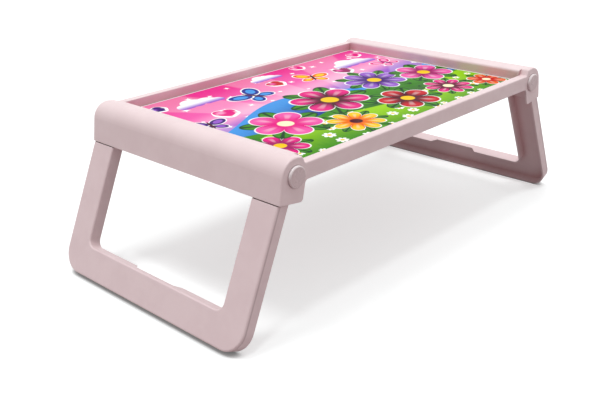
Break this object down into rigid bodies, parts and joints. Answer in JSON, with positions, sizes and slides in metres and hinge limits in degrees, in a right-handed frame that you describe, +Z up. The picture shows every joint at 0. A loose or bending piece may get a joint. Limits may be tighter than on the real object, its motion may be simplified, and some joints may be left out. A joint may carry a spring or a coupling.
{
  "type": "folding study table",
  "caption": "Low folding study table for the lap or the floor: a rimmed plastic tray with a printed work surface, on U-shaped channel legs that swing inwards under it.",
  "frame": {"origin": "on the ground, under the middle of the tray, with the legs opened", "axes": "+X along the tray to its right end, +Y from the user's side to the far side, +Z up"},
  "size_m": [0.6612, 0.3364, 0.2023],
  "materials": {
    "tray_plastic": "satin moulded",
    "leg_plastic": "satin moulded",
    "pin_plastic": "satin moulded",
    "printed_laminate": "gloss laminate over print"
  },
  "bodies": {
    "tray": {"tray": "tray_plastic", "printed_sheet": "printed_laminate", "hinge_pin_right_front": "pin_plastic", "hinge_pin_right_back": "pin_plastic", "hinge_pin_left_front": "pin_plastic", "hinge_pin_left_back": "pin_plastic"},
    "left_leg": {"left_leg": "leg_plastic"},
    "right_leg": {"right_leg": "leg_plastic"}
  },
  "joints": [
    {"name": "left_leg_fold", "type": "hinge", "parent": "tray", "child": "left_leg", "pos_m": [-0.2397, 0, 0.1815], "axis": [0, -1, 0], "range_deg": [0, 109.9]},
    {"name": "right_leg_fold", "type": "hinge", "parent": "tray", "child": "right_leg", "pos_m": [0.2397, 0, 0.1815], "axis": [0, 1, 0], "range_deg": [0, 109.9]}
  ]
}
